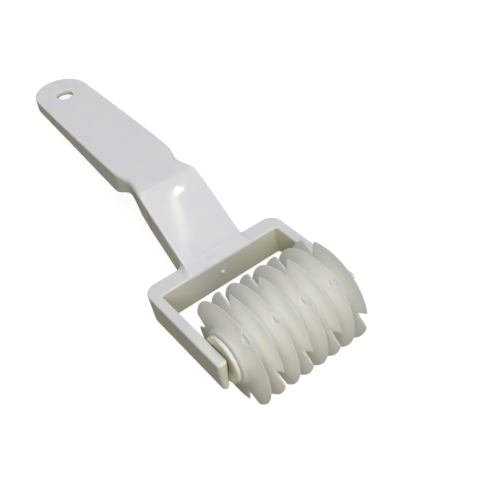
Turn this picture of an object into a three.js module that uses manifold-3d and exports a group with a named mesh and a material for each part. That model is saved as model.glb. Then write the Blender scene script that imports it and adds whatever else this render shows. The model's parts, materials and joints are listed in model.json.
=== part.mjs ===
// Lattice roller cutter: eight notched discs on a keyed rod, turning between the arms of a one-piece handle.
// Millimetres. While a piece is drawn, X runs along the roller's axis, Y from the roller to the hanging hole,
// Z up from the flat of the yoke, and the origin is the middle of the roller's axis. At the end the whole tool
// is tipped until it rests on its discs and the tail of its grip, with the origin under its middle.
import * as THREE from 'three';
import { mergeVertices } from 'three/addons/utils/BufferGeometryUtils.js';
import Module from 'manifold-3d';

const wasm = await Module();
wasm.setup();

// Driving sizes of the whole tool
const rollerToTail = 193.32; // front rim of the roller to the tail, along the yoke's flat: 195 as the tool lies
const yokeWidth = 65;

// Yoke: a crossbar with two arms
const armThickness = 4.4;
const armHeight = 14.3;
const armOuterDraft = 0.9; // by which an arm's outer face leans in from its top to its bottom
const armInnerDraft = 0.8; // by which its inner face leans out
const axisBelowTop = 5.1; // roller axis below the top face of the yoke
const axisToCrossbar = 36.7;
const axisToArmEnd = 5.3;
const crossbarDepth = 7.6;
const yokeCornerRadius = 5.6;
const innerCornerRadius = 1.5; // corner between an arm and the crossbar
const armEndRadius = 1.5;
const yokeEdge = 0.8;
const socketDepth = 2.9;

// Neck: slopes up from the top of the crossbar to the fold
const neckSlope = THREE.MathUtils.degToRad(34.4);
const neckFoot = 6.2; // where the neck's top face leaves the crossbar, in front of the crossbar's back
const neckWidth = 28.2;
const neckWidthAtFold = 27.6;
const neckSkirt = 12.2; // height of the side walls, top face to lower edge
const neckFlareRadius = 2.4;
const axisToFold = 69.4;

// Grip: from the fold to the round tail, with a finger recess on each side next to the fold
const gripSlope = THREE.MathUtils.degToRad(1.8);
const gripWidth = 27.3;
const tailRadius = 12.5;
const skirtAtFold = 13.2;
const skirtAtTail = 6;
const skirtArch = 1.8; // rise of the grip's lower edge above a straight line, half way along
const recessDepth = 2.5;
const recessNeckRun = 11.4; // from the deepest point of the recess to the neck
const recessGripRun = 7; // from the deepest point of the recess to the full width of the grip
const recessBottomBlend = 0.8;
const recessCornerBlend = 0.25;
const recessLift = 5.2; // rise of the lower edge under the recess
const recessReach = 14; // from the middle of the recess to where that rise ends, each way
const foldBlend = 0.35;
const topEdge = 0.7; // rounding between the top face and the side walls
const recessEdge = 2.6; // the same rounding in the middle of the recess

// Shell of the neck and grip, open underneath
const plateThickness = 2.5;
const wallThickness = 2.2;
const ribThickness = 1.8;
const ribSpacing = 24;
const tailPocket = 21.24; // stretch at the tail without ribs, round the hanging hole
const hangingHoleRadius = 3.7;
const hangingHoleFromTail = 15.24;
const hangingHoleLip = 0.5;

// Roller
const discCount = 8;
const discRadius = 21.4;
const webThickness = 1.3; // disc next to its hub
const rimThickness = 0.65; // disc where its edge bevel starts
const edgeThickness = 0.4;
const edgeBevel = 0.9;
const hubRadius = 11.2;
const hubEdge = 0.6;
const notchCount = 3;
const notchDepth = 6.1;
const notchMouth = 8.2;
const firstNotchTurn = THREE.MathUtils.degToRad(-1); // of the second disc, from straight ahead towards the top
const rodFlats = 8;
const journalRadius = 3;
const journalEnd = 0.5;
const collarRadius = 9.7;
const collarThickness = 1.65;
const collarEdge = 0.35;

// Clearances and cutting allowance
const fit = 0.3; // between neighbouring pieces
const overrun = 1; // by which a cut runs past the face it opens
const weld = 0.0003; // points closer than this are one point

// Facets
const discFacets = 48;
const smallFacets = 24;
const cornerFacets = 6;
const edgeFacets = 3;
const tailFacets = 12;

// Sizes worked out from the driving sizes
const yokeHalf = yokeWidth / 2;
const armInner = yokeHalf - armThickness;
const yokeTop = axisBelowTop;
const yokeBottom = axisBelowTop - armHeight;
const crossbarBack = axisToCrossbar + crossbarDepth;
const tailY = rollerToTail - discRadius;
const tailCentreY = tailY - tailRadius;
const recessY = axisToFold + recessNeckRun;
const gripStartY = recessY + recessGripRun;
const recessMiddleY = (axisToFold + gripStartY) / 2;
const neckStartY = crossbarBack - neckFoot;
const collarOuter = armInner - fit;
const collarInner = collarOuter - collarThickness;
const stackHalf = collarInner - fit / 2;
const discPitch = (2 * stackHalf) / discCount;
const hubHalf = (discPitch - fit) / 2;
const rodHalf = stackHalf - fit / 2;
const journalTip = armInner + socketDepth - fit;

// Blends of two heights or widths that meet in a soft corner
const softMax = (a, b, blend) => (a + b) / 2 + Math.hypot((a - b) / 2, blend);
const softMin = (a, b, blend) => (a + b) / 2 - Math.hypot((a - b) / 2, blend);

// Solid of a closed three.js geometry, and the geometry of a solid
function solid(geometry) {
  const plain = geometry.clone();
  plain.deleteAttribute('normal');
  plain.deleteAttribute('uv');
  const merged = mergeVertices(plain, weld);
  return new wasm.Manifold(new wasm.Mesh({
    numProp: 3,
    vertProperties: new Float32Array(merged.attributes.position.array),
    triVerts: new Uint32Array(merged.index.array),
  }));
}

function geometryOf(body) {
  const { vertProperties, triVerts } = body.getMesh();
  const geometry = new THREE.BufferGeometry();
  geometry.setAttribute('position', new THREE.BufferAttribute(new Float32Array(vertProperties), 3));
  geometry.setIndex(new THREE.BufferAttribute(new Uint32Array(triVerts), 1));
  geometry.computeVertexNormals();
  return geometry;
}

// Lays a shape that stands along Y along the roller's axis
const alongX = (geometry) => geometry.rotateZ(-Math.PI / 2);
const box = (x0, x1, y0, y1, z0, z1) => solid(
  new THREE.BoxGeometry(x1 - x0, y1 - y0, z1 - z0).translate((x0 + x1) / 2, (y0 + y1) / 2, (z0 + z1) / 2),
);
const ring = (points, facets) => alongX(
  new THREE.LatheGeometry(points.map(([r, x]) => new THREE.Vector2(r, x)), facets),
);

// 1 in the middle of the recess, 0 past its reach
function recessShareAt(y) {
  const away = THREE.MathUtils.clamp((y - recessMiddleY) / recessReach, -1, 1);
  return Math.cos((away * Math.PI) / 2) ** 2;
}

// Heights of the top face and of the lower edge along the handle, and the rounding of the top face's edge
function topAt(y) {
  const neck = yokeTop + (y - neckStartY) * Math.tan(neckSlope);
  const foldZ = yokeTop + (axisToFold - neckStartY) * Math.tan(neckSlope);
  return softMin(neck, foldZ + (y - axisToFold) * Math.tan(gripSlope), foldBlend);
}

function bottomAt(y) {
  const neck = yokeTop + (y - neckStartY) * Math.tan(neckSlope) - neckSkirt;
  const foldZ = topAt(axisToFold) - skirtAtFold;
  const tailZ = topAt(tailY) - skirtAtTail;
  const gripShare = THREE.MathUtils.clamp((y - axisToFold) / (tailY - axisToFold), 0, 1);
  const arch = skirtArch * (1 - (2 * gripShare - 1) ** 2);
  const grip = foldZ + ((y - axisToFold) * (tailZ - foldZ)) / (tailY - axisToFold) + arch;
  return Math.max(softMin(neck, grip, foldBlend) + recessLift * recessShareAt(y), yokeBottom + fit);
}

const topEdgeAt = (y) => THREE.MathUtils.lerp(topEdge, recessEdge, recessShareAt(y));

// Half width of the handle: neck with its flare at the crossbar, recess, and the slightly barrelled grip
function halfWidthAt(y) {
  const neckShare = (y - crossbarBack) / (axisToFold - crossbarBack);
  const neck = THREE.MathUtils.lerp(neckWidth, neckWidthAtFold, Math.max(neckShare, 0)) / 2;
  const rise = THREE.MathUtils.clamp(crossbarBack + neckFlareRadius - y, 0, neckFlareRadius);
  const flare = neckFlareRadius - Math.sqrt(neckFlareRadius ** 2 - rise ** 2);
  if (y < axisToFold - recessNeckRun / 2) return neck + flare;
  const gripShare = Math.max(0, (y - gripStartY) / (tailCentreY - gripStartY));
  const grip = gripWidth / 2 - (gripWidth / 2 - tailRadius) * gripShare ** 2;
  const outer = y < recessY ? neck : grip;
  const deepest = gripWidth / 2 - recessDepth;
  const neckFlank = deepest + ((recessY - y) * (neckWidthAtFold / 2 - deepest)) / recessNeckRun;
  const gripFlank = deepest + ((y - recessY) * recessDepth) / recessGripRun;
  return softMin(outer, softMax(neckFlank, gripFlank, recessBottomBlend), recessCornerBlend);
}

// Right-hand outline of the handle in plan, from inside the crossbar to the tail, with outward normals
function handleOutline() {
  const rows = [];
  const stretch = (from, to, count) => {
    for (let i = 0; i < count; i += 1) rows.push(THREE.MathUtils.lerp(from, to, i / count));
  };
  const flareEnd = crossbarBack + neckFlareRadius;
  const foldRun = recessNeckRun / 4;
  stretch(neckStartY, crossbarBack, 1);
  stretch(crossbarBack, flareEnd, cornerFacets);
  stretch(flareEnd, axisToFold - foldRun, 3);
  stretch(axisToFold - foldRun, axisToFold + foldRun, 2 * cornerFacets);
  stretch(axisToFold + foldRun, gripStartY + foldRun, 3 * cornerFacets);
  stretch(gripStartY + foldRun, tailCentreY, 2 * cornerFacets);
  const points = rows.map((y) => {
    const slope = y < flareEnd ? 0 : (halfWidthAt(y + weld) - halfWidthAt(y - weld)) / (2 * weld);
    const length = Math.hypot(1, slope);
    return { x: halfWidthAt(y), y, nx: 1 / length, ny: -slope / length };
  });
  for (let i = 0; i <= tailFacets; i += 1) {
    const turn = (i / tailFacets) * (Math.PI / 2);
    const nx = i === tailFacets ? 0 : Math.cos(turn);
    points.push({ x: tailRadius * nx, y: tailCentreY + tailRadius * Math.sin(turn), nx, ny: Math.sin(turn) });
  }
  return points;
}

// Body over a plan outline, set in by inset: a row of points goes up one side wall, round the edge and back down
function outlineBody(outline, { inset, edgeAt, top, bottom }) {
  const section = ({ x, y, nx, ny }) => {
    const edge = edgeAt(y);
    const side = [];
    const point = (d, z) => side.push([Math.max(x - nx * (inset + d), 0), y - ny * (inset + d), z]);
    point(0, bottom(y));
    for (let i = 0; i <= edgeFacets; i += 1) {
      const turn = (i / edgeFacets) * (Math.PI / 2);
      const d = edge * (1 - Math.cos(turn));
      point(d, top(y - ny * (inset + d)) - edge * (1 - Math.sin(turn)));
    }
    return [...side, ...side.map(([px, py, pz]) => [-px, py, pz]).reverse()];
  };
  const rows = outline.map(section);
  const size = rows[0].length;
  const position = rows.flat(2);
  const index = [];
  for (let r = 0; r + 1 < rows.length; r += 1) {
    for (let i = 0; i < size; i += 1) {
      const a = r * size + i;
      const b = r * size + ((i + 1) % size);
      index.push(a, a + size, b, b, a + size, b + size);
    }
  }
  for (let i = 1; i + 1 < size; i += 1) index.push(0, i, i + 1);
  const geometry = new THREE.BufferGeometry();
  geometry.setAttribute('position', new THREE.Float32BufferAttribute(position, 3));
  geometry.setIndex(index);
  return solid(withoutSlivers(geometry));
}

// Drops the triangles that close up where both sides of an outline meet at the tail
function withoutSlivers(geometry) {
  const merged = mergeVertices(geometry, weld);
  const { array } = merged.index;
  const kept = [];
  for (let i = 0; i < array.length; i += 3) {
    const [a, b, c] = [array[i], array[i + 1], array[i + 2]];
    if (a !== b && b !== c && a !== c) kept.push(a, b, c);
  }
  merged.setIndex(kept);
  return merged;
}

// Plan of the yoke: crossbar with round corners, and two arms open to the front
function yokeShape() {
  const shape = new THREE.Shape();
  const end = -axisToArmEnd;
  const r = armEndRadius;
  const c = yokeCornerRadius;
  const inner = innerCornerRadius;
  shape.moveTo(armInner - inner, axisToCrossbar);
  shape.absarc(-armInner + inner, axisToCrossbar - inner, inner, Math.PI / 2, Math.PI, false);
  shape.absarc(-armInner - r, end + r, r, 0, -Math.PI / 2, true);
  shape.absarc(-yokeHalf + r, end + r, r, -Math.PI / 2, -Math.PI, true);
  shape.absarc(-yokeHalf + c, crossbarBack - c, c, Math.PI, Math.PI / 2, true);
  shape.absarc(yokeHalf - c, crossbarBack - c, c, Math.PI / 2, 0, true);
  shape.absarc(yokeHalf - r, end + r, r, 0, -Math.PI / 2, true);
  shape.absarc(armInner + r, end + r, r, -Math.PI / 2, -Math.PI, true);
  shape.absarc(armInner - inner, axisToCrossbar - inner, inner, 0, Math.PI / 2, false);
  return shape;
}

// Place across the yoke of a point of its straight extrusion, once both faces of each arm lean to the bottom
function draftedX(x, z) {
  const depthShare = Math.max(yokeTop - yokeEdge - z, 0) / (armHeight - yokeEdge);
  const fromInner = Math.abs(x) - armInner;
  const innerShare = THREE.MathUtils.clamp(1 + fromInner / innerCornerRadius, 0, 1);
  const outerShare = THREE.MathUtils.clamp(fromInner / armThickness, 0, 1);
  const outward = THREE.MathUtils.lerp(innerShare * armInnerDraft, -armOuterDraft, outerShare);
  return x + Math.sign(x) * outward * depthShare;
}

function yokeBody() {
  const geometry = new THREE.ExtrudeGeometry(yokeShape(), {
    depth: armHeight - 2 * yokeEdge,
    bevelThickness: yokeEdge,
    bevelSize: yokeEdge,
    bevelOffset: -yokeEdge,
    bevelSegments: edgeFacets,
    curveSegments: cornerFacets,
  });
  geometry.translate(0, 0, yokeBottom + yokeEdge);
  const places = geometry.attributes.position;
  for (let i = 0; i < places.count; i += 1) places.setX(i, draftedX(places.getX(i), places.getZ(i)));
  return solid(geometry);
}

// Blind socket in an arm for the rod's journal, side being -1 on the left and 1 on the right
function socket(side) {
  const radius = journalRadius + fit;
  const depth = socketDepth + overrun;
  const cut = alongX(new THREE.CylinderGeometry(radius, radius, depth, smallFacets));
  return solid(cut.translate(side * (armInner + (socketDepth - overrun) / 2), 0, 0));
}

// Hanging hole with a rounded lip at the top face
function hangingHole() {
  const y = tailY - hangingHoleFromTail;
  const top = topAt(y);
  const low = top - plateThickness - overrun;
  const profile = [[0, low], [hangingHoleRadius, low], [hangingHoleRadius, top - hangingHoleLip]];
  profile.push([hangingHoleRadius + hangingHoleLip + overrun, top + overrun], [0, top + overrun]);
  const cut = new THREE.LatheGeometry(profile.map(([r, z]) => new THREE.Vector2(r, z)), smallFacets);
  return solid(cut.rotateX(Math.PI / 2).translate(0, y, 0));
}

// Ribs under the neck and grip: one down the middle and evenly spaced ones across
function ribs() {
  const end = tailY - tailPocket;
  const low = yokeBottom - overrun;
  const high = topAt(tailY) + overrun;
  let body = box(-ribThickness / 2, ribThickness / 2, crossbarBack - overrun, end, low, high);
  const reach = yokeHalf;
  for (let y = end; y > crossbarBack + ribSpacing / 2; y -= ribSpacing) {
    body = body.add(box(-reach, reach, y - ribThickness / 2, y + ribThickness / 2, low, high));
  }
  return body;
}

function handleFrame() {
  const outline = handleOutline();
  const outside = outlineBody(outline, { inset: 0, edgeAt: topEdgeAt, top: topAt, bottom: bottomAt });
  const underNeck = (y) => (y < axisToFold ? plateThickness / Math.cos(neckSlope) : plateThickness);
  const hollow = outlineBody(outline.filter(({ y }) => y >= crossbarBack), {
    inset: wallThickness,
    edgeAt: () => hangingHoleLip,
    top: (y) => topAt(y) - underNeck(y),
    bottom: (y) => bottomAt(y) - overrun,
  });
  const shell = outside.subtract(hollow.subtract(ribs()));
  return shell.add(yokeBody()).subtract(socket(-1)).subtract(socket(1)).subtract(hangingHole());
}

// Wedge that cuts one notch, from its bottom out past the rim
function notchWedge(turn) {
  const bottom = discRadius - notchDepth;
  const reach = notchDepth + overrun;
  const half = ((notchMouth / 2) * reach) / notchDepth;
  const shape = new THREE.Shape([[bottom, 0], [bottom + reach, -half], [bottom + reach, half]]
    .map(([u, v]) => new THREE.Vector2(u, v)));
  const wedge = new THREE.ExtrudeGeometry(shape, { depth: discPitch, bevelEnabled: false });
  wedge.translate(0, 0, -discPitch / 2).rotateZ(turn);
  return solid(wedge.rotateX(Math.PI / 2).rotateZ(-Math.PI / 2));
}

const hexRod = (flats, length) => {
  const corner = flats / 2 / Math.cos(Math.PI / 6);
  return solid(alongX(new THREE.CylinderGeometry(corner, corner, length, 6)));
};

// One disc with its hub on both sides and a six-sided bore, notches at equal turns from the given one
function notchedDisc(turn) {
  const right = [
    [discRadius, edgeThickness / 2], [discRadius - edgeBevel, rimThickness / 2], [hubRadius, webThickness / 2],
    [hubRadius, hubHalf - hubEdge], [hubRadius - hubEdge, hubHalf], [0, hubHalf],
  ];
  const left = right.map(([r, x]) => [r, -x]).reverse();
  let disc = solid(ring([...left, ...right], discFacets));
  for (let i = 0; i < notchCount; i += 1) {
    disc = disc.subtract(notchWedge(turn + (i * 2 * Math.PI) / notchCount));
  }
  return disc.subtract(hexRod(rodFlats + 2 * fit, discPitch));
}

function coreRod() {
  const end = journalTip;
  const profile = [[0, -end], [journalRadius - journalEnd, -end], [journalRadius, journalEnd - end]];
  const journals = ring([...profile, ...profile.map(([r, x]) => [r, -x]).reverse()], smallFacets);
  return hexRod(rodFlats, 2 * rodHalf).add(solid(journals));
}

// Collar between the last hub and an arm
function endCollar(side) {
  const bore = journalRadius + fit;
  const e = collarEdge;
  const profile = [
    [bore, collarInner], [collarRadius - e, collarInner], [collarRadius, collarInner + e],
    [collarRadius, collarOuter - e], [collarRadius - e, collarOuter], [bore, collarOuter], [bore, collarInner],
  ];
  const collar = ring(profile, 2 * smallFacets);
  return side > 0 ? collar : collar.rotateY(Math.PI);
}

// Angle by which the tail sinks when the tool lies on a table, resting on its discs and the end of its grip
function restTilt() {
  const tailZ = bottomAt(tailY);
  return Math.atan2(tailZ, tailY) + Math.asin(discRadius / Math.hypot(tailY, tailZ));
}

// Materials and assembly
const whitePlastic = { color: 0xdcdce2, roughness: 0.28, metalness: 0 };
const naturalPlastic = { color: 0xe6e2d2, roughness: 0.35, metalness: 0 };

function named(name, geometry, finish) {
  const mesh = new THREE.Mesh(geometry, new THREE.MeshStandardMaterial(finish));
  mesh.name = name;
  return mesh;
}

const handle = new THREE.Group();
handle.add(named('handle_frame', geometryOf(handleFrame()), whitePlastic));

const roller = new THREE.Group();
const halfStep = Math.PI / notchCount;
const evenDisc = geometryOf(notchedDisc(firstNotchTurn));
const oddDisc = geometryOf(notchedDisc(firstNotchTurn + halfStep));
for (let i = 1; i <= discCount; i += 1) {
  const disc = named(`cutting_disc_${i}`, i % 2 === 0 ? evenDisc : oddDisc, naturalPlastic);
  disc.position.x = (i - (discCount + 1) / 2) * discPitch;
  roller.add(disc);
}
roller.add(
  named('core_rod', geometryOf(coreRod()), naturalPlastic),
  named('end_collar_left', endCollar(-1), naturalPlastic),
  named('end_collar_right', endCollar(1), naturalPlastic),
);

const tool = new THREE.Group();
tool.add(handle, roller);
tool.rotation.x = -restTilt();
tool.updateMatrixWorld(true);
const bounds = new THREE.Box3().setFromObject(tool, true);
tool.position.set(-(bounds.min.x + bounds.max.x) / 2, -(bounds.min.y + bounds.max.y) / 2, -bounds.min.z);

const cutter = new THREE.Group();
cutter.add(tool);
export default cutter;
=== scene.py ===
"""Looks of the lattice roller cutter, laid out as an add-on and run as a script.

Pieces are drawn in the tool's own frame: X along the roller's axis, Y from the roller to the hanging hole,
Z up from the flat of the yoke, with the origin in the middle of the roller. as_it_lies() then tips them
into the pose in which the tool lies on the table. Lengths are metres."""

import json
import math

import bpy
import numpy as np
from mathutils import Matrix, Vector


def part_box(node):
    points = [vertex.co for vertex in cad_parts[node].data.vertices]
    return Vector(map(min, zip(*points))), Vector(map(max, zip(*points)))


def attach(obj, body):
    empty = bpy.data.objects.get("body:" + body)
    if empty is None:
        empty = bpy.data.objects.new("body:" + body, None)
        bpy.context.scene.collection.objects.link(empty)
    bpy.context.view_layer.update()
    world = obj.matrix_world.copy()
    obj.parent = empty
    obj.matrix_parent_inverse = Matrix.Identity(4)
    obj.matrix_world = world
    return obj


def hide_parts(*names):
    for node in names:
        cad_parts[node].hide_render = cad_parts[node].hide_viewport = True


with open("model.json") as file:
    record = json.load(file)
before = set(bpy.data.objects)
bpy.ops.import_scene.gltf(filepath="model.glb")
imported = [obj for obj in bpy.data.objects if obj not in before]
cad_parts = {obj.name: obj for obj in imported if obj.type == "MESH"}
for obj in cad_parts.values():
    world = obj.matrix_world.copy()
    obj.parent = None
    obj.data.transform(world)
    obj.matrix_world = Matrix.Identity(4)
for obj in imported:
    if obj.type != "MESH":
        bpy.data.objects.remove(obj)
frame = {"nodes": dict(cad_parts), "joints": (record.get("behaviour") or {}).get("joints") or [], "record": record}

bl_info = {
    "name": "Lattice roller cutter",
    "version": (1, 0, 0),
    "blender": (4, 5, 0),
    "location": "View3D > Sidebar > Cutter",
    "description": "Makes the moulded handle, the notched discs and the stage of a lattice roller cutter",
    "category": "Object",
}

MM = 0.001
DISCS = [name for name in frame["nodes"] if name.startswith("cutting_disc_")]
SPIN = frame["joints"][0]
GRIP_FACE = frame["record"]["mounts"][0]
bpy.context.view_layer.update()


def length(label, size, text):
    """A length in millimetres, kept as a property in metres."""
    return bpy.props.FloatProperty(
        name=label, description=text, default=size * MM, min=0, unit="LENGTH", precision=5)


def angle(label, degrees, text):
    """An angle in degrees, kept as a property in radians."""
    return bpy.props.FloatProperty(
        name=label, description=text, default=math.radians(degrees), subtype="ANGLE")


def colour(label, values, text):
    return bpy.props.FloatVectorProperty(
        name=label, description=text, default=values, size=3, min=0, max=1, subtype="COLOR")


def count(label, value, text):
    return bpy.props.IntProperty(name=label, description=text, default=value, min=1)


class HandleSizes(bpy.types.PropertyGroup):
    """Sizes of the one-piece handle: yoke, neck and grip."""
    roller_to_tail: length("Roller to tail", 193.32, "Roller's front rim to the tail, along the yoke")
    yoke_width: length("Yoke width", 65, "Over both arms")
    arm_thickness: length("Arm thickness", 4.4, "Wall of each arm")
    arm_height: length("Arm height", 14.3, "Top to bottom of the yoke")
    arm_outer_draft: length("Arm outer draft", 0.9, "By which an arm's outer face leans in, top to bottom")
    arm_inner_draft: length("Arm inner draft", 0.8, "By which its inner face leans out")
    axis_below_top: length("Axis below top", 5.1, "Roller axis below the top face of the yoke")
    axis_to_crossbar: length("Axis to crossbar", 36.7, "Roller axis to the front of the crossbar")
    axis_to_arm_end: length("Axis to arm end", 5.3, "Roller axis to the free ends of the arms")
    crossbar_depth: length("Crossbar depth", 7.6, "Front to back of the crossbar")
    corner_radius: length("Corner radius", 5.6, "Back corners of the yoke, in plan")
    arm_end_radius: length("Arm end radius", 1.5, "Vertical edges at the ends of the arms")
    yoke_edge: length("Yoke edge", 0.8, "Rounding of the long edges of the yoke")
    inner_corner: length("Inner corner", 1.5, "Corner between an arm and the crossbar")
    neck_slope: angle("Neck slope", 34.4, "Rise of the neck from the yoke")
    neck_foot: length("Neck foot", 6.2, "From the crossbar's back to where the neck's top face leaves it")
    neck_width: length("Neck width", 28.2, "At the crossbar")
    neck_width_at_fold: length("Neck width at fold", 27.6, "At the fold")
    neck_skirt: length("Neck skirt", 12.2, "Height of the neck's side walls")
    foot_fillet: length("Foot fillet", 2.6, "Fillet between the neck and the yoke")
    axis_to_fold: length("Axis to fold", 69.4, "Roller axis to the fold between neck and grip")
    grip_slope: angle("Grip slope", 1.8, "Rise of the grip towards its tail")
    grip_width: length("Grip width", 27.3, "Widest place of the grip")
    tail_radius: length("Tail radius", 12.5, "Round end of the grip")
    skirt_at_fold: length("Skirt at fold", 13.2, "Height of the grip's side walls at the fold")
    skirt_at_tail: length("Skirt at tail", 6, "Height of the grip's side walls at the tail")
    skirt_arch: length("Skirt arch", 1.8, "Rise of the grip's lower edge above a straight line, half way")
    recess_depth: length("Recess depth", 2.5, "Finger recess on each side of the grip")
    recess_neck_run: length("Recess to neck", 11.4, "Deepest point of the recess to the neck")
    recess_grip_run: length("Recess to grip", 7, "Deepest point of the recess to the grip's full width")
    recess_blend: length("Recess blend", 0.8, "Softness of the bottom of the recess")
    recess_corner: length("Recess corner", 0.25, "Softness of the corners of the recess")
    recess_lift: length("Recess lift", 5.2, "Rise of the lower edge under the recess")
    recess_reach: length("Recess reach", 14, "Middle of the recess to where that rise ends, each way")
    recess_edge: length("Recess edge", 2.6, "Rounding of the top face's edge in the middle of the recess")
    fold_blend: length("Fold blend", 0.35, "Softness of the fold")
    top_edge: length("Top edge", 0.7, "Rounding between the top face and the side walls")
    low_edge: length("Low edge", 0.5, "Rounding of the lower edges")
    plate: length("Plate", 2.5, "Thickness under the top face")
    wall: length("Wall", 2.2, "Thickness of the side walls")
    rib: length("Rib", 1.8, "Thickness of the ribs underneath")
    rib_spacing: length("Rib spacing", 24, "Between the cross ribs")
    tail_pocket: length("Tail pocket", 21.24, "Stretch at the tail without ribs")
    hole_radius: length("Hole radius", 3.7, "Hanging hole")
    hole_from_tail: length("Hole from tail", 15.24, "Middle of the hanging hole to the tail")
    hole_lip: length("Hole lip", 0.6, "Rounding of the rim of the hanging hole")
    socket_radius: length("Socket radius", 3.3, "Blind sockets in the arms")
    socket_depth: length("Socket depth", 2.9, "Blind sockets in the arms")
    gate_radius: length("Gate radius", 0.95, "Small round mark on the crossbar where the mould was filled")
    gate_height: length("Gate height", 0.7, "How far the round mark stands proud")
    gate_place: length("Gate place", 0.4, "Round mark above the middle of the crossbar's front")
    grid: length("Grid", 0.5, "Spacing of the points of the handle's surface")
    tint: colour("Handle colour", (0.735, 0.74, 0.765), "White plastic")
    # Painted light: in its hollows the handle's colour turns towards this lighter, yellower one, painting the warm
    # light bounced inside them; the same colour also takes a little random mottle
    painted_hollow_light_and_mottle: colour("Handle depth colour", (0.92, 0.89, 0.68), "White plastic at its edges and in its hollows")


class RollerSizes(bpy.types.PropertyGroup):
    """Sizes of the discs, hubs and collars on the rod."""
    facets: count("Facets", 144, "Facets round a disc")
    disc_radius: length("Disc radius", 21.4, "Over the cutting rim")
    web: length("Web", 1.3, "Disc next to its hub")
    rim: length("Rim", 0.65, "Disc where its edge bevel starts")
    edge: length("Edge", 0.4, "Thickness of the cutting edge")
    edge_bevel: length("Edge bevel", 0.9, "Width of the bevel next to the cutting edge")
    hub_radius: length("Hub radius", 11.2, "Hub on both sides of a disc")
    hub_edge: length("Hub edge", 0.8, "Rounding of the hub's edge")
    hub_fillet: length("Hub fillet", 1.3, "Fillet between hub and disc")
    seat_gap: length("Seat gap", 0.3, "Between neighbouring pieces")
    notches: count("Notches", 3, "Notches round a disc")
    notch_depth: length("Notch depth", 6.1, "Rim to the bottom of a notch")
    notch_mouth: length("Notch mouth", 8.2, "Width of a notch at the rim")
    first_notch: angle("First notch", -1, "Of the second disc, from straight ahead towards the top")
    rod_flats: length("Rod flats", 8, "Six-sided rod, across its flats")
    corner: length("Corner", 0.14, "Rounding of the cut edges")
    collar_edge: length("Collar edge", 0.55, "Rounding of the collars")
    # Partly the plastic's own tint and partly painted light: the middle of each disc is made brighter and ivory,
    # painting light scattered through the thick plastic, and the thin rims greyer
    tint: colour("Disc colour", (1.0, 0.975, 0.87), "Uncoloured plastic, seen where it is thick")
    rim_tint: colour("Rim colour", (0.86, 0.87, 0.92), "Uncoloured plastic, seen at the thin rims")


class StageSizes(bpy.types.PropertyGroup):
    """Camera and floor."""
    azimuth: angle("Azimuth", 44.16, "Camera's heading, from +Y towards +X")
    elevation: angle("Elevation", 54.78, "Camera's dip below the horizon")
    roll: angle("Roll", 7.09, "Camera's turn about its own line of sight")
    camera_place: bpy.props.FloatVectorProperty(
        name="Camera place", description="Where the camera stands", default=(-0.10446, -0.16237, 0.25408),
        size=3, subtype="TRANSLATION", unit="LENGTH", precision=5)
    lens: bpy.props.FloatProperty(
        name="Lens", description="Focal length on a 36 mm frame", default=52.40, unit="CAMERA")
    floor_size: length("Floor size", 4000, "Side of the square floor")
    floor_tint: colour("Floor colour", (0.24, 0.24, 0.24), "Pale floor")
    bounce_tint: colour("Floor bounce", (0.24, 0.225, 0.155), "What the floor throws back on the object")


# The pose in which the tool lies


def lie_matrix(sizes):
    """Places the tool's own frame: tipped about the roller's axis until the tool lies on the table."""
    across = Vector(GRIP_FACE["axis"])
    tilt = math.atan2(across.y, across.z) + sizes.grip_slope
    return Matrix.Translation(SPIN["pos_m"]) @ Matrix.Rotation(-tilt, 4, "X")


def as_it_lies(mesh, sizes, local=Matrix.Identity(4)):
    mesh.transform(lie_matrix(sizes) @ local)


# The handle, as a distance to its surface: below zero inside the plastic


def soft_max(a, b, blend):
    return (a + b) / 2 + np.hypot((a - b) / 2, blend)


def soft_min(a, b, blend):
    return (a + b) / 2 - np.hypot((a - b) / 2, blend)


def overlap(a, b, radius):
    """What two forms have in common, with the edge between them rounded."""
    corner = np.hypot(np.maximum(a + radius, 0), np.maximum(b + radius, 0))
    return np.minimum(np.maximum(a, b), -radius) + corner


def join(a, b, radius):
    """Two forms made one, with a fillet between them."""
    return -overlap(-a, -b, radius)


def slope_of(height, y):
    step = 0.01 * MM
    return (height(y + step) - height(y - step)) / (2 * step)


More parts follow.
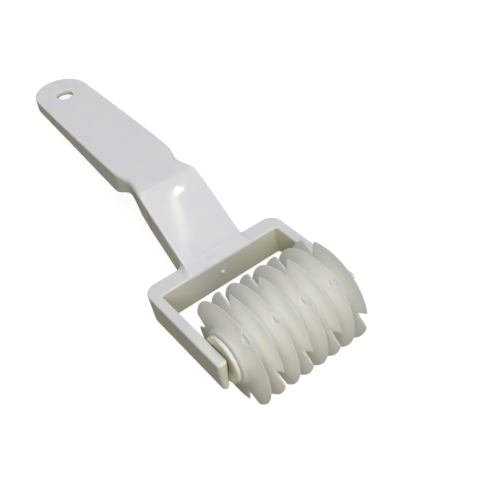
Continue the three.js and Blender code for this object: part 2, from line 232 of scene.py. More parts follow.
class HandleForm:
    """The handle's shape, from its sizes."""

    def __init__(self, sizes, disc_radius):
        self.s = sizes
        self.arm_inner = sizes.yoke_width / 2 - sizes.arm_thickness
        self.yoke_top = sizes.axis_below_top
        self.yoke_bottom = sizes.axis_below_top - sizes.arm_height
        self.crossbar_back = sizes.axis_to_crossbar + sizes.crossbar_depth
        self.neck_start = self.crossbar_back - sizes.neck_foot
        self.tail = sizes.roller_to_tail - disc_radius
        self.tail_centre = self.tail - sizes.tail_radius
        self.recess = sizes.axis_to_fold + sizes.recess_neck_run
        self.grip_start = self.recess + sizes.recess_grip_run
        self.recess_middle = (sizes.axis_to_fold + self.grip_start) / 2
        self.hole_y = self.tail - sizes.hole_from_tail
        self.fold_top = self.neck_line(sizes.axis_to_fold)

    def neck_line(self, y):
        return self.yoke_top + (y - self.neck_start) * math.tan(self.s.neck_slope)

    def top(self, y):
        grip = self.fold_top + (y - self.s.axis_to_fold) * math.tan(self.s.grip_slope)
        return soft_min(self.neck_line(y), grip, self.s.fold_blend)

    def bottom(self, y):
        s = self.s
        fold_low = self.top(s.axis_to_fold) - s.skirt_at_fold
        tail_low = self.top(self.tail) - s.skirt_at_tail
        share = (y - s.axis_to_fold) / (self.tail - s.axis_to_fold)
        arch = s.skirt_arch * (1 - (2 * np.clip(share, 0, 1) - 1) ** 2)
        grip = fold_low + share * (tail_low - fold_low) + arch
        low = soft_min(self.neck_line(y) - s.neck_skirt, grip, s.fold_blend)
        return np.maximum(low + s.recess_lift * self.recess_share(y), self.yoke_bottom + s.low_edge)

    def recess_share(self, y):
        """1 in the middle of the finger recess, 0 past its reach."""
        away = np.clip((y - self.recess_middle) / self.s.recess_reach, -1, 1)
        return np.cos(away * math.pi / 2) ** 2

    def half_width(self, y):
        """Half width in plan: neck, finger recess and slightly barrelled grip."""
        s = self.s
        neck_share = np.clip((y - self.crossbar_back) / (s.axis_to_fold - self.crossbar_back), 0, None)
        neck = (s.neck_width + (s.neck_width_at_fold - s.neck_width) * neck_share) / 2
        grip_share = np.clip((y - self.grip_start) / (self.tail_centre - self.grip_start), 0, 1)
        grip = s.grip_width / 2 - (s.grip_width / 2 - s.tail_radius) * grip_share**2
        deepest = s.grip_width / 2 - s.recess_depth
        neck_flank = deepest + (self.recess - y) * (s.neck_width_at_fold / 2 - deepest) / s.recess_neck_run
        grip_flank = deepest + (y - self.recess) * s.recess_depth / s.recess_grip_run
        recess = soft_max(neck_flank, grip_flank, s.recess_blend)
        cut = soft_min(np.where(y < self.recess, neck, grip), recess, s.recess_corner)
        return np.where(y < s.axis_to_fold - s.recess_neck_run / 2, neck, cut)

    def flank(self, x, y):
        """Distance to the side walls and the round tail, in plan."""
        side = (x - self.half_width(y)) / np.hypot(1, slope_of(self.half_width, y))
        tail = np.hypot(x, y - self.tail_centre) - self.s.tail_radius
        return np.where(y > self.tail_centre, tail, side)

    def yoke(self, x, y, z):
        s = self.s
        middle = (self.crossbar_back - s.axis_to_arm_end) / 2
        radius = np.where(y > middle, s.corner_radius, s.arm_end_radius)
        share = np.clip((self.yoke_top - s.yoke_edge - z) / (s.arm_height - s.yoke_edge), 0, 1)
        across = x - s.yoke_width / 2 + s.arm_outer_draft * share + radius
        along = abs(y - middle) - (self.crossbar_back + s.axis_to_arm_end) / 2 + radius
        corner = np.hypot(np.maximum(across, 0), np.maximum(along, 0))
        outer = corner + np.minimum(np.maximum(across, along), 0) - radius
        inner = self.arm_inner + s.arm_inner_draft * share
        opening = overlap(x - inner, y - s.axis_to_crossbar, s.inner_corner)
        plan = overlap(outer, -opening, s.arm_end_radius)
        height = abs(z - (self.yoke_top + self.yoke_bottom) / 2) - s.arm_height / 2
        return overlap(plan, height, s.yoke_edge)

    def hollow(self, x, y, flank, over):
        """The space between the ribs under the neck and grip."""
        s = self.s
        space = overlap(flank + s.wall, over + s.plate, s.low_edge)
        space = overlap(space, self.crossbar_back - y, s.low_edge)
        end = self.tail - s.tail_pocket
        ribs = np.where(y < end, x, np.hypot(x, y - end)) - s.rib / 2
        for place in np.arange(end, self.crossbar_back + s.rib_spacing / 2, -s.rib_spacing):
            ribs = np.minimum(ribs, abs(y - place) - s.rib / 2)
        return overlap(space, -ribs, s.low_edge)

    def distance(self, x, y, z):
        s = self.s
        x = abs(x)
        flank = self.flank(x, y)
        over = (z - self.top(y)) / np.hypot(1, slope_of(self.top, y))
        under = (self.bottom(y) - z) / np.hypot(1, slope_of(self.bottom, y))
        edge = s.top_edge + (s.recess_edge - s.top_edge) * self.recess_share(y)
        grip = overlap(overlap(flank, over, edge), under, s.low_edge)
        grip = overlap(grip, self.neck_start - y, s.low_edge)
        fillet = np.interp(z, [self.yoke_bottom, self.yoke_top], [0, s.foot_fillet])
        body = join(grip, self.yoke(x, y, z), fillet)
        body = overlap(body, -self.hollow(x, y, flank, over), s.low_edge / 2)
        body = overlap(body, s.hole_radius - np.hypot(x, y - self.hole_y), s.hole_lip)
        socket = np.maximum(np.hypot(y, z) - s.socket_radius, x - self.arm_inner - s.socket_depth)
        return np.maximum(body, -socket)

    def slopes(self, points):
        """Outward direction of the surface at each point."""
        step = 0.02 * MM
        rows = []
        for axis in np.eye(3) * step:
            ahead = self.distance(*(points + axis).T)
            rows.append(ahead - self.distance(*(points - axis).T))
        normals = np.array(rows).T
        return normals / np.linalg.norm(normals, axis=1, keepdims=True)


def surface_of(form, low, high, step):
    """Points and quads of the surface of a form, with one point in each cell of a grid that it crosses."""
    rounds_of_settling = 3
    # The grid starts a cell and a half outside the form's box, so that flat faces don't meet its points
    ticks = [np.arange(a - 1.5 * step, b + 2 * step, step) for a, b in zip(low, high)]
    value = form.distance(*np.meshgrid(*ticks, indexing="ij", sparse=True))
    inside = value < 0
    cells = tuple(n - 1 for n in value.shape)
    total = np.zeros(cells + (3,))
    crossings = np.zeros(cells)
    edges = []
    for axis in range(3):
        first = [slice(None)] * 3
        second = [slice(None)] * 3
        first[axis], second[axis] = slice(None, -1), slice(1, None)
        a, b = value[tuple(first)], value[tuple(second)]
        at = np.argwhere((a < 0) != (b < 0))
        share = a[tuple(at.T)] / (a[tuple(at.T)] - b[tuple(at.T)])
        place = at.astype(float)
        place[:, axis] += share
        u, v = [i for i in range(3) if i != axis]
        around = []
        for du, dv in ((0, 0), (1, 0), (1, 1), (0, 1)):
            cell = at.copy()
            cell[:, u] -= du
            cell[:, v] -= dv
            around.append(cell)
            np.add.at(total, tuple(cell.T), place)
            np.add.at(crossings, tuple(cell.T), 1)
        flip = inside[tuple(at.T)] == (axis == 1)
        edges.append((around, flip))
    active = crossings > 0
    number = np.full(cells, -1)
    number[active] = np.arange(active.sum())
    start = np.array([t[0] for t in ticks])
    points = start + step * total[active] / crossings[active][:, None]
    quads = []
    for around, flip in edges:
        rows = np.stack([number[tuple(cell.T)] for cell in around], axis=1)
        rows[flip] = rows[flip][:, ::-1]
        quads.append(rows)
    for _ in range(rounds_of_settling):
        reach = np.clip(form.distance(*points.T), -step, step)
        points -= reach[:, None] * form.slopes(points)
    return points, np.concatenate(quads)


# Shader node groups and materials


def add(tree, kind, inputs=None, **settings):
    """A node with its settings, and its inputs set or linked by name or number."""
    node = tree.nodes.new(kind)
    for key, value in settings.items():
        setattr(node, key, value)
    for key, value in (inputs or {}).items():
        if isinstance(value, bpy.types.NodeSocket):
            tree.links.new(value, node.inputs[key])
        else:
            node.inputs[key].default_value = value
    return node


def math_of(tree, operation, *values):
    return add(tree, "ShaderNodeMath", dict(enumerate(values)), operation=operation).outputs[0]


def ramp(tree, value, low, high):
    """0 at low, 1 at high, soft in between."""
    inputs = {"Value": value, "From Min": low, "From Max": high}
    return add(tree, "ShaderNodeMapRange", inputs, interpolation_type="SMOOTHSTEP").outputs[0]


def new_group(name, kind, inputs, outputs):
    tree = bpy.data.node_groups.new(name, kind)
    for label, socket_type, default in inputs:
        socket = tree.interface.new_socket(label, in_out="INPUT", socket_type=socket_type)
        if default is not None:
            socket.default_value = default
    for label, socket_type in outputs:
        tree.interface.new_socket(label, in_out="OUTPUT", socket_type=socket_type)
    return tree, tree.nodes.new("NodeGroupInput").outputs, tree.nodes.new("NodeGroupOutput").inputs


def moulded_skin():
    """Height and roughness of a moulded surface: sink waves, mould grain and hairline handling marks."""
    name = "Moulded skin"
    if name in bpy.data.node_groups:
        return bpy.data.node_groups[name]
    tree, given, result = new_group(name, "ShaderNodeTree", [
        ("Vector", "NodeSocketVector", None),
        ("Wave size", "NodeSocketFloat", 9.0),
        ("Wave height", "NodeSocketFloat", 0.5),
        ("Grain height", "NodeSocketFloat", 0.1),
        ("Scratch height", "NodeSocketFloat", 0.15),
        ("Roughness", "NodeSocketFloat", 0.3),
    ], [("Height", "NodeSocketFloat"), ("Roughness", "NodeSocketFloat"), ("Mottle", "NodeSocketFloat")])
    grain_scale = 3.5
    mark_turn, mark_stretch = (0, 0, 0.5), (3.2, 0.12, 1.0)
    mark_starts, mark_full = 0.66, 0.72
    wave_roughness, mark_roughness = 0.10, 0.12

    def noise(vector, scale, detail):
        inputs = {"Vector": vector, "Scale": scale, "Detail": detail}
        return add(tree, "ShaderNodeTexNoise", inputs).outputs["Fac"]

    millimetres = add(
        tree, "ShaderNodeVectorMath", {0: given["Vector"], "Scale": 1 / MM}, operation="SCALE").outputs[0]
    waves = noise(millimetres, math_of(tree, "DIVIDE", 1.0, given["Wave size"]), detail=1.0)
    grain = noise(millimetres, grain_scale, detail=2.0)
    turned = {"Vector": millimetres, "Rotation": mark_turn, "Scale": mark_stretch}
    stretched = add(tree, "ShaderNodeMapping", turned).outputs[0]
    marks = ramp(tree, noise(stretched, 1.0, detail=2.0), mark_starts, mark_full)
    height = math_of(tree, "MULTIPLY", waves, given["Wave height"])
    height = math_of(tree, "MULTIPLY_ADD", grain, given["Grain height"], height)
    mark_depth = math_of(tree, "MULTIPLY", given["Scratch height"], -1.0)
    height = math_of(tree, "MULTIPLY_ADD", marks, mark_depth, height)
    rough = math_of(tree, "SUBTRACT", given["Roughness"], wave_roughness / 2)
    rough = math_of(tree, "MULTIPLY_ADD", waves, wave_roughness, rough)
    rough = math_of(tree, "MULTIPLY_ADD", marks, mark_roughness, rough)
    tree.links.new(height, result["Height"])
    tree.links.new(rough, result["Roughness"])
    tree.links.new(waves, result["Mottle"])
    return tree


def new_material(name):
    material = bpy.data.materials.new(name)
    material.use_nodes = True
    tree = material.node_tree
    return material, tree, tree.nodes["Principled BSDF"]


def skin_into(tree, shader, bump_distance, **values):
    """Puts the moulded skin on a plastic, and returns the coordinates that it reads and its mottle."""
    place = add(tree, "ShaderNodeTexCoord").outputs["Object"]
    skin = add(tree, "ShaderNodeGroup", node_tree=moulded_skin())
    tree.links.new(place, skin.inputs["Vector"])
    for key, value in values.items():
        skin.inputs[key.replace("_", " ").capitalize()].default_value = value
    bump = add(tree, "ShaderNodeBump", {"Height": skin.outputs["Height"], "Distance": bump_distance})
    tree.links.new(bump.outputs[0], shader.inputs["Normal"])
    tree.links.new(skin.outputs["Roughness"], shader.inputs["Roughness"])
    return place, skin.outputs["Mottle"]


def blend_colour(tree, share, low, high):
    """One colour where the share is 0, the other where it is 1."""
    factor, colour_a, colour_b, result = 0, 6, 7, 2  # the Mix node's sockets for colours
    inputs = {factor: share, colour_a: (*low, 1), colour_b: (*high, 1)}
    return add(tree, "ShaderNodeMix", inputs, data_type="RGBA").outputs[result]


def white_plastic(sizes):
    """Glossy white moulding, with lighter, yellower light painted into its hollows, and very slightly yellower in
    its mottle.
    """
    material, tree, shader = new_material("white_plastic")
    _, mottle = skin_into(tree, shader, bump_distance=0.06 * MM, wave_size=14.0, wave_height=0.7,
                          grain_height=0.03, scratch_height=0.02, roughness=0.065)
    hollow_reach = 25 * MM
    open_face, deep_hollow = 0.95, 0.35
    mottle_low, mottle_high, mottle_share = 0.3, 0.7, 0.08
    # Painted light: ambient occlusion finds the hollows, and the base colour there is blended towards a lighter,
    # yellower one that paints the light bounced inside them
    light = add(tree, "ShaderNodeAmbientOcclusion", {"Distance": hollow_reach}, samples=8).outputs["AO"]
    hollow = ramp(tree, light, open_face, deep_hollow)
    painted_hollow_light_and_mottle = math_of(tree, "MULTIPLY_ADD", ramp(tree, mottle, mottle_low, mottle_high), mottle_share, hollow)
    tree.links.new(blend_colour(tree, painted_hollow_light_and_mottle, sizes.tint, sizes.painted_hollow_light_and_mottle), shader.inputs["Base Color"])
    shader.inputs["Subsurface Weight"].default_value = 1.0
    shader.inputs["Subsurface Radius"].default_value = (1.0, 0.93, 0.55)
    shader.inputs["Subsurface Scale"].default_value = 1.4 * MM
    return material


def natural_plastic(sizes, centre):
    """Uncoloured milky plastic: ivory where it is thick, greyer at the thin rims; the brighter ivory middle is
    partly a painted glow of light scattered through the thick plastic.
    """
    material, tree, shader = new_material("natural_plastic")
    place, mottle = skin_into(tree, shader, bump_distance=0.05 * MM, wave_size=8.0, wave_height=0.6,
                              grain_height=0.05, scratch_height=0.05, roughness=0.38)
    offset = add(tree, "ShaderNodeVectorMath", {0: place, 1: centre}, operation="SUBTRACT").outputs[0]
    across = add(tree, "ShaderNodeVectorMath", {0: offset, 1: (0, 1, 1)}, operation="MULTIPLY").outputs[0]
    radius = add(tree, "ShaderNodeVectorMath", {0: across}, operation="LENGTH").outputs["Value"]
    # Blend from the ivory middle to the grey rims by distance from the axis: the plastic's own tint, with the
    # brighter middle a painted glow of light scattered inside it
    rim_starts = 0.72 * sizes.disc_radius
    mottle_share = 0.2
    share = math_of(tree, "SUBTRACT", ramp(tree, radius, rim_starts, sizes.disc_radius), mottle_share / 2)
    share = math_of(tree, "MULTIPLY_ADD", mottle, mottle_share, share)
    tree.links.new(blend_colour(tree, share, sizes.tint, sizes.rim_tint), shader.inputs["Base Color"])
    shader.inputs["Subsurface Weight"].default_value = 1.0
    shader.inputs["Subsurface Radius"].default_value = (1.0, 0.93, 0.75)
    shader.inputs["Subsurface Scale"].default_value = 12 * MM
    return material


# Geometry node trees


def real_and_painted(tree, geometry, material):
    """The last two nodes of a tree: its instances made real, and its material set."""
    real = add(tree, "GeometryNodeRealizeInstances", {"Geometry": geometry}).outputs[0]
    return add(tree, "GeometryNodeSetMaterial", {"Geometry": real, "Material": material}).outputs[0]


def lathe_tree():
    """Turns the points of the incoming profile (x along the axis, y the radius) about the X axis."""
    name = "Turned piece"
    if name in bpy.data.node_groups:
        return bpy.data.node_groups[name]
    tree, given, result = new_group(name, "GeometryNodeTree", [
        ("Geometry", "NodeSocketGeometry", None),
        ("Facets", "NodeSocketInt", 96),
        ("Material", "NodeSocketMaterial", None),
    ], [("Geometry", "NodeSocketGeometry")])
    profile = given["Geometry"]
    same_place = 0.001 * MM
    points = add(tree, "GeometryNodeAttributeDomainSize", {"Geometry": profile}, component="MESH")
    rows = points.outputs["Point Count"]
    columns = math_of(tree, "ADD", given["Facets"], 1)
    sheet = add(tree, "GeometryNodeMeshGrid", {"Vertices X": columns, "Vertices Y": rows}).outputs["Mesh"]
    index = add(tree, "GeometryNodeInputIndex").outputs[0]
    row = math_of(tree, "MODULO", index, rows)
    # Half a row more keeps a whole quotient from being rounded down
    column = math_of(tree, "FLOOR", math_of(tree, "DIVIDE", math_of(tree, "ADD", index, 0.5), rows))
    position = add(tree, "GeometryNodeInputPosition").outputs[0]
    point = add(tree, "GeometryNodeSampleIndex", {"Geometry": profile, "Index": row},
                data_type="FLOAT_VECTOR", domain="POINT")
    tree.links.new(position, point.inputs["Value"])
    parts = add(tree, "ShaderNodeSeparateXYZ", {0: point.outputs["Value"]}).outputs
    turn = math_of(tree, "MULTIPLY", math_of(tree, "DIVIDE", column, given["Facets"]), 2 * math.pi)
    y = math_of(tree, "MULTIPLY", parts["Y"], math_of(tree, "COSINE", turn))
    z = math_of(tree, "MULTIPLY", parts["Y"], math_of(tree, "SINE", turn))
    place = add(tree, "ShaderNodeCombineXYZ", {"X": parts["X"], "Y": y, "Z": z}).outputs[0]
    shaped = add(tree, "GeometryNodeSetPosition", {"Geometry": sheet, "Position": place}).outputs[0]
    closed = add(tree, "GeometryNodeMergeByDistance", {"Geometry": shaped, "Distance": same_place}).outputs[0]
    smooth = add(tree, "GeometryNodeSetShadeSmooth", {"Geometry": closed}).outputs[0]
    tree.links.new(real_and_painted(tree, smooth, given["Material"]), result["Geometry"])
    return tree


def notched_disc_tree():
    """A turned disc with notches cut in its rim at equal steps, and a six-sided bore."""
    name = "Notched disc"
    if name in bpy.data.node_groups:
        return bpy.data.node_groups[name]
    tree, given, result = new_group(name, "GeometryNodeTree", [
        ("Geometry", "NodeSocketGeometry", None),
        ("Facets", "NodeSocketInt", 144),
        ("Radius", "NodeSocketFloat", 0.02),
        ("Width", "NodeSocketFloat", 0.006),
        ("Notches", "NodeSocketInt", 3),
        ("Notch depth", "NodeSocketFloat", 0.006),
        ("Notch mouth", "NodeSocketFloat", 0.008),
        ("First notch", "NodeSocketFloat", 0.0),
        ("Bore flats", "NodeSocketFloat", 0.008),
        ("Material", "NodeSocketMaterial", None),
    ], [("Geometry", "NodeSocketGeometry")])
    turned = add(tree, "GeometryNodeGroup", node_tree=lathe_tree())
    for key in ("Geometry", "Facets", "Material"):
        tree.links.new(given[key], turned.inputs[key])
    # A three-cornered prism: its corner points at the axis, and it is stretched until it passes the rim
    stretch = 1.5
    reach = math_of(tree, "MULTIPLY", given["Notch depth"], stretch)
    bottom = math_of(tree, "SUBTRACT", given["Radius"], given["Notch depth"])
    corner_to_base, half_base = 1.5, math.sin(math.pi / 3)
    scale_y = math_of(tree, "DIVIDE", reach, corner_to_base)
    scale_z = math_of(tree, "MULTIPLY", given["Notch mouth"], stretch / 2 / half_base)
    scale = add(tree, "ShaderNodeCombineXYZ", {"X": scale_y, "Y": scale_z, "Z": 1.0}).outputs[0]
    move_y = math_of(tree, "MULTIPLY", math_of(tree, "ADD", bottom, scale_y), -1.0)
    move = add(tree, "ShaderNodeCombineXYZ", {"Y": move_y}).outputs[0]
    prism = add(tree, "GeometryNodeMeshCylinder", {"Vertices": 3, "Radius": 1.0, "Depth": given["Width"]})
    wedge = add(tree, "GeometryNodeTransform", {
        "Geometry": prism.outputs["Mesh"], "Scale": scale,
        "Rotation": (math.pi / 2, 0, math.pi / 2), "Translation": move}).outputs[0]
    marks = add(tree, "GeometryNodeMeshLine", {"Count": given["Notches"], "Offset": (0, 0, 0)}).outputs[0]
    index = add(tree, "GeometryNodeInputIndex").outputs[0]
    step = math_of(tree, "DIVIDE", 2 * math.pi, given["Notches"])
    turn = math_of(tree, "MULTIPLY", math_of(tree, "MULTIPLY_ADD", index, step, given["First notch"]), -1.0)
    rotation = add(tree, "ShaderNodeCombineXYZ", {"X": turn}).outputs[0]
    wedges = add(tree, "GeometryNodeInstanceOnPoints", {
        "Points": marks, "Instance": wedge, "Rotation": rotation})
    corner = math_of(tree, "DIVIDE", given["Bore flats"], 2 * math.cos(math.pi / 6))
    rod = add(tree, "GeometryNodeMeshCylinder", {"Vertices": 6, "Radius": corner, "Depth": given["Width"]})
    bore = add(tree, "GeometryNodeTransform", {
        "Geometry": rod.outputs["Mesh"], "Rotation": (0, -math.pi / 2, 0)}).outputs[0]
    cutters = add(tree, "GeometryNodeJoinGeometry")
    tree.links.new(wedges.outputs[0], cutters.inputs[0])
    tree.links.new(bore, cutters.inputs[0])
    real_cutters = add(tree, "GeometryNodeRealizeInstances", {"Geometry": cutters.outputs[0]}).outputs[0]
    cut = add(tree, "GeometryNodeMeshBoolean", operation="DIFFERENCE", solver="EXACT")
    tree.links.new(turned.outputs[0], cut.inputs["Mesh 1"])
    tree.links.new(real_cutters, cut.inputs["Mesh 2"])
    tree.links.new(real_and_painted(tree, cut.outputs["Mesh"], given["Material"]), result["Geometry"])
    return tree


def object_of(name, mesh):
    piece = bpy.data.objects.new(name, mesh)
    bpy.context.scene.collection.objects.link(piece)
    return piece


def plain_mesh(piece):
    """The piece's evaluated mesh, put in place of its live modifiers."""
    graph = bpy.context.evaluated_depsgraph_get()
    mesh = bpy.data.meshes.new_from_object(piece.evaluated_get(graph), depsgraph=graph)
    piece.modifiers.clear()
    piece.data = mesh
    return mesh


def grown(name, profile, tree, values):
    """A piece made by a geometry node tree from a profile of points (along the axis, radius)."""
    mesh = bpy.data.meshes.new(name)
    links = [(i, i + 1) for i in range(len(profile) - 1)]
    mesh.from_pydata([(x, r, 0) for x, r in profile], links, [])
    piece = object_of(name, mesh)
    modifier = piece.modifiers.new("Form", "NODES")
    modifier.node_group = tree
    sockets = {item.name: item.identifier for item in tree.interface.items_tree if item.in_out == "INPUT"}
    for label, value in values.items():
        modifier[sockets[label]] = value
    plain_mesh(piece)
    return piece


def arc(centre_x, centre_r, radius, start, end, steps=5):
    """Points of an arc in a profile, from one angle in degrees to another: 0 is along the axis, 90 out."""
    turns = np.radians(np.linspace(start, end, steps + 1))
    return [(centre_x + radius * math.cos(t), centre_r + radius * math.sin(t)) for t in turns]


def soft_edges(piece, width):
    """Rounds the sharp edges and keeps the broad faces flat to the light."""
    bevel = piece.modifiers.new("Soft edges", "BEVEL")
    bevel.width = width
    bevel.segments = 2
    bevel.limit_method = "ANGLE"
    bevel.angle_limit = math.radians(40)  # the facets of a round face meet at less
    bevel.harden_normals = True
    plain_mesh(piece)


# Operators, one for each piece or group of like pieces, and one for the stage


class CUTTER_OT_handle(bpy.types.Operator):
    """Mould the handle: yoke, neck, grip, hanging hole and the ribs underneath"""
    bl_idname = "cutter.handle"
    bl_label = "Mould handle"

    def execute(self, context):
        sizes = context.scene.cutter_handle
        form = HandleForm(sizes, context.scene.cutter_roller.disc_radius)
        low = (-sizes.yoke_width / 2, -sizes.axis_to_arm_end, form.yoke_bottom)
        high = (sizes.yoke_width / 2, form.tail, float(form.top(form.tail)))
        points, quads = surface_of(form, low, high, sizes.grid)
        normals = form.slopes(points)
        mesh = bpy.data.meshes.new("handle")
        mesh.from_pydata(points.tolist(), [], quads.tolist())
        mesh.materials.append(white_plastic(sizes))
        mesh.polygons.foreach_set("use_smooth", [True] * len(mesh.polygons))
        as_it_lies(mesh, sizes)
        turned = normals @ np.array(lie_matrix(sizes).to_3x3()).T
        mesh.normals_split_custom_set_from_vertices(turned.tolist())
        piece = object_of("handle", mesh)
        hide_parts("handle_frame")
        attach(piece, "handle")
        return {"FINISHED"}


class CUTTER_OT_gate_mark(bpy.types.Operator):
    """Set the small round mark on the crossbar where the mould was filled"""
    bl_idname = "cutter.gate_mark"
    bl_label = "Set gate mark"

    def execute(self, context):
        sizes = context.scene.cutter_handle
        base = -sizes.gate_height
        rounded_share = 0.8
        edge = sizes.gate_height * rounded_share
        profile = [(base, 0), (base, sizes.gate_radius)]
        profile += arc(sizes.gate_height - edge, sizes.gate_radius - edge, edge, 90, 0)
        profile += [(sizes.gate_height, 0)]
        values = {"Facets": 32, "Material": bpy.data.materials["white_plastic"]}
        piece = grown("gate_mark", profile, lathe_tree(), values)
        middle = sizes.axis_below_top - sizes.arm_height / 2
        spot = Matrix.Translation((0, sizes.axis_to_crossbar, middle + sizes.gate_place))
        place = spot @ Matrix.Rotation(-math.pi / 2, 4, "Z")
        as_it_lies(piece.data, sizes, place)
        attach(piece, "handle")
        return {"FINISHED"}


class CUTTER_OT_discs(bpy.types.Operator):
    """Mould the notched discs and thread them on the rod, notches staggered by half a step"""
    bl_idname = "cutter.discs"
    bl_label = "Mould discs"

    def execute(self, context):
        sizes, handle = context.scene.cutter_roller, context.scene.cutter_handle
        pitch = self.pitch()
        profile = self.profile(sizes, pitch)
        material = natural_plastic(sizes, SPIN["pos_m"])
        for i, node in enumerate(DISCS):
            even = i % 2 == 1
            first = sizes.first_notch + (0 if even else math.pi / sizes.notches)
            piece = grown(f"disc_{i + 1}", profile, notched_disc_tree(), {
                "Facets": sizes.facets, "Radius": sizes.disc_radius, "Width": pitch,
                "Notches": sizes.notches, "Notch depth": sizes.notch_depth,
                "Notch mouth": sizes.notch_mouth, "First notch": first,
                "Bore flats": sizes.rod_flats + 2 * sizes.seat_gap, "Material": material})
            soft_edges(piece, sizes.corner)
            x = (i - (len(DISCS) - 1) / 2) * pitch
            as_it_lies(piece.data, handle, Matrix.Translation((x, 0, 0)))
            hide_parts(node)
            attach(piece, "roller")
        return {"FINISHED"}

    @staticmethod
    def pitch():
        (first, _), (second, _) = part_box(DISCS[0]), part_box(DISCS[1])
        return second.x - first.x

    @staticmethod
    def profile(sizes, pitch):
        """Right half of a disc from the middle of its rim to the axis, and its mirror image."""
        edge = sizes.edge / 2
        hub = (pitch - sizes.seat_gap) / 2
        fillet, rim, web = sizes.hub_fillet, sizes.rim / 2, sizes.web / 2
        right = arc(0, sizes.disc_radius - edge, edge, 90, 0)
        right += [(rim, sizes.disc_radius - sizes.edge_bevel), (web, sizes.hub_radius + fillet)]
        right += arc(web + fillet, sizes.hub_radius + fillet, fillet, 180, 270)[1:]
        right += arc(hub - sizes.hub_edge, sizes.hub_radius - sizes.hub_edge, sizes.hub_edge, 90, 0)
        right += [(hub, 0)]
        return [(-x, r) for x, r in reversed(right)] + right[1:]


class CUTTER_OT_collars(bpy.types.Operator):
    """Turn the two collars between the last hubs and the arms"""
    bl_idname = "cutter.collars"
    bl_label = "Turn collars"

    def execute(self, context):
        sizes = context.scene.cutter_roller
        for side in ("left", "right"):
            node = f"end_collar_{side}"
            low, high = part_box(node)
            radius, edge = (high.z - low.z) / 2, sizes.collar_edge
            bore = radius / 3  # a little over the rod's journal
            profile = [(low.x, bore)]
            profile += arc(low.x + edge, radius - edge, edge, 180, 90)
            profile += arc(high.x - edge, radius - edge, edge, 90, 0)
            profile += [(high.x, bore), (low.x, bore)]
            values = {"Facets": 96, "Material": bpy.data.materials["natural_plastic"]}
            piece = grown(f"collar_{side}", profile, lathe_tree(), values)
            as_it_lies(piece.data, context.scene.cutter_handle)
            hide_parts(node)
            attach(piece, "roller")
        return {"FINISHED"}


class CUTTER_OT_rod(bpy.types.Operator):
    """Finish the six-sided rod that carries the discs"""
    bl_idname = "cutter.rod"
    bl_label = "Finish rod"

    def execute(self, context):
        rod = frame["nodes"]["core_rod"]
        rod.data.materials.clear()
        rod.data.materials.append(bpy.data.materials["natural_plastic"])
        return {"FINISHED"}


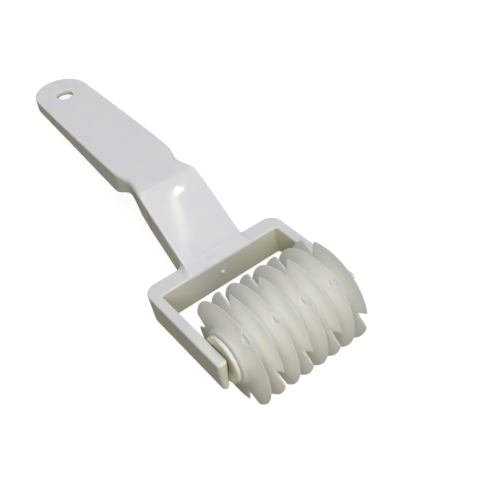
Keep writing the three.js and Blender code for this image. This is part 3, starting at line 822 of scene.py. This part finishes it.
class CUTTER_OT_stage(bpy.types.Operator):
    """Set the camera, the soft lights and the pale floor"""
    bl_idname = "cutter.stage"
    bl_label = "Set stage"

    def execute(self, context):
        stage = context.scene.cutter_stage
        self.camera(stage)
        # Soft light from above and the front, and three small lamps whose shine shows on neck and fold
        self.lamp("key", place=(0.0, -0.06, 0.70), target=(0, 0.0, 0.02), size=(0.40, 0.40),
                  watts=1.22, tint=(0.99, 0.99, 1.0))
        self.lamp("fill", place=(-0.38, -0.38, 0.45), target=(0, -0.06, 0.02), size=(0.30, 0.30),
                  watts=0.80, tint=(1.0, 0.98, 0.92))
        self.lamp("strip", place=(0.283, -0.104, 0.80), target=(0, -0.02, 0.02), size=(0.13, 0.008),
                  watts=0.022, tint=(0.97, 0.98, 1.0))
        self.lamp("spot", place=(0.306, -0.060, 0.80), target=(0, 0, 0.03), size=(0.010, 0.010),
                  watts=0.008, tint=(1.0, 1.0, 1.0))
        self.lamp("glint", place=(0.31, 0.45, 0.80), target=(0, 0, 0.03), size=(0.02, 0.02),
                  watts=0.25, tint=(1.0, 1.0, 1.0))
        self.world()
        self.floor(stage)
        context.scene.view_settings.view_transform = "Standard"
        return {"FINISHED"}

    @staticmethod
    def camera(stage):
        data = bpy.data.cameras.new("camera")
        data.lens = stage.lens
        data.sensor_width = 36
        data.sensor_fit = "HORIZONTAL"
        data.clip_start = 0.01
        data.clip_end = 10
        camera = bpy.data.objects.new("camera", data)
        bpy.context.scene.collection.objects.link(camera)
        camera.matrix_world = (
            Matrix.Translation(stage.camera_place)
            @ Matrix.Rotation(-stage.azimuth, 4, "Z")
            @ Matrix.Rotation(math.pi / 2 - stage.elevation, 4, "X")
            @ Matrix.Rotation(stage.roll, 4, "Z"))
        bpy.context.scene.camera = camera

    @staticmethod
    def lamp(name, place, target, size, watts, tint):
        data = bpy.data.lights.new(name, "AREA")
        data.shape = "ELLIPSE"
        data.size, data.size_y = size
        data.energy = watts
        data.color = tint
        lamp = bpy.data.objects.new(name, data)
        lamp.location = place
        lamp.rotation_euler = (Vector(target) - Vector(place)).to_track_quat("-Z", "Y").to_euler()
        bpy.context.scene.collection.objects.link(lamp)

    @staticmethod
    def seen_directly(tree):
        """1 for what is seen straight away or through something clear."""
        rays = add(tree, "ShaderNodeLightPath").outputs
        return math_of(tree, "MAXIMUM", rays["Is Camera Ray"], rays["Is Transmission Ray"])

    def world(self):
        """White to look at and in reflections, and a soft light that is dimmer at the sides and behind."""
        world = bpy.data.worlds.new("studio")
        world.use_nodes = True
        bpy.context.scene.world = world
        tree = world.node_tree
        tree.nodes.clear()
        gloss = add(tree, "ShaderNodeLightPath").outputs["Is Glossy Ray"]
        seen = math_of(tree, "MAXIMUM", self.seen_directly(tree), gloss)
        way = add(tree, "ShaderNodeTexCoord").outputs["Generated"]
        toward = add(tree, "ShaderNodeSeparateXYZ", {0: way}).outputs
        low_tint, high_tint, high_at = (0.68, 0.65, 0.42), (0.84, 0.85, 0.92), 0.8
        tint = blend_colour(tree, ramp(tree, toward["Z"], 0.0, high_at), low_tint, high_tint)
        left_end, middle_at, right_end, side_light = -0.6, 0.3, 0.9, 0.26
        from_left = ramp(tree, toward["X"], left_end, middle_at)
        from_right = ramp(tree, toward["X"], right_end, middle_at)
        middle = math_of(tree, "MINIMUM", from_left, from_right)
        across = math_of(tree, "MULTIPLY_ADD", middle, 1 - side_light, side_light)
        back_end, front_end, back_light, front_gain = 0.5, -0.7, 0.75, 0.8
        front = ramp(tree, toward["Y"], back_end, front_end)
        along = math_of(tree, "MULTIPLY_ADD", front, front_gain, back_light)
        lit = math_of(tree, "MULTIPLY", across, along)
        soft = add(tree, "ShaderNodeBackground", {"Color": tint, "Strength": lit}).outputs[0]
        white = add(tree, "ShaderNodeBackground", {"Color": (1, 1, 1, 1), "Strength": 1.0}).outputs[0]
        both = add(tree, "ShaderNodeMixShader", {0: seen, 1: soft, 2: white}).outputs[0]
        add(tree, "ShaderNodeOutputWorld", {"Surface": both})

    def floor(self, stage):
        """Pale to look at, with the object's shadow on it, and warm and dim to the object."""
        glow = 0.91
        half = stage.floor_size / 2
        mesh = bpy.data.meshes.new("floor")
        corners = [(-half, -half, 0), (half, -half, 0), (half, half, 0), (-half, half, 0)]
        mesh.from_pydata(corners, [], [(0, 1, 2, 3)])
        material, tree, shader = new_material("pale_floor")
        tree.nodes.remove(shader)
        seen = self.seen_directly(tree)
        tint = blend_colour(tree, seen, stage.bounce_tint, stage.floor_tint)
        matt = add(tree, "ShaderNodeBsdfDiffuse", {"Color": tint}).outputs[0]
        lift = add(tree, "ShaderNodeEmission", {"Strength": math_of(tree, "MULTIPLY", seen, glow)}).outputs[0]
        both = add(tree, "ShaderNodeAddShader", {0: matt, 1: lift}).outputs[0]
        tree.links.new(both, tree.nodes["Material Output"].inputs["Surface"])
        mesh.materials.append(material)
        floor = object_of("floor", mesh)


PIECES = (CUTTER_OT_handle, CUTTER_OT_gate_mark, CUTTER_OT_discs, CUTTER_OT_collars, CUTTER_OT_rod)
GROUPS = {"cutter_handle": HandleSizes, "cutter_roller": RollerSizes, "cutter_stage": StageSizes}


class CUTTER_PT_panel(bpy.types.Panel):
    """Buttons and sizes of the cutter"""
    bl_idname = "CUTTER_PT_panel"
    bl_label = "Lattice roller cutter"
    bl_space_type = "VIEW_3D"
    bl_region_type = "UI"
    bl_category = "Cutter"

    def draw(self, context):
        for operator in (*PIECES, CUTTER_OT_stage):
            self.layout.operator(operator.bl_idname)
        for group in GROUPS:
            box = self.layout.box()
            for key in getattr(context.scene, group).bl_rna.properties.keys():
                if key not in ("rna_type", "name"):
                    box.prop(getattr(context.scene, group), key)


CLASSES = (*GROUPS.values(), *PIECES, CUTTER_OT_stage, CUTTER_PT_panel)


def register():
    for cls in CLASSES:
        bpy.utils.register_class(cls)
    for name, group in GROUPS.items():
        setattr(bpy.types.Scene, name, bpy.props.PointerProperty(type=group))


def unregister():
    for name in GROUPS:
        delattr(bpy.types.Scene, name)
    for cls in reversed(CLASSES):
        bpy.utils.unregister_class(cls)


def main():
    register()
    bpy.ops.cutter.stage()
    for operator in ("handle", "gate_mark", "discs", "collars", "rod"):
        getattr(bpy.ops.cutter, operator)()


if __name__ == "__main__":
    main()
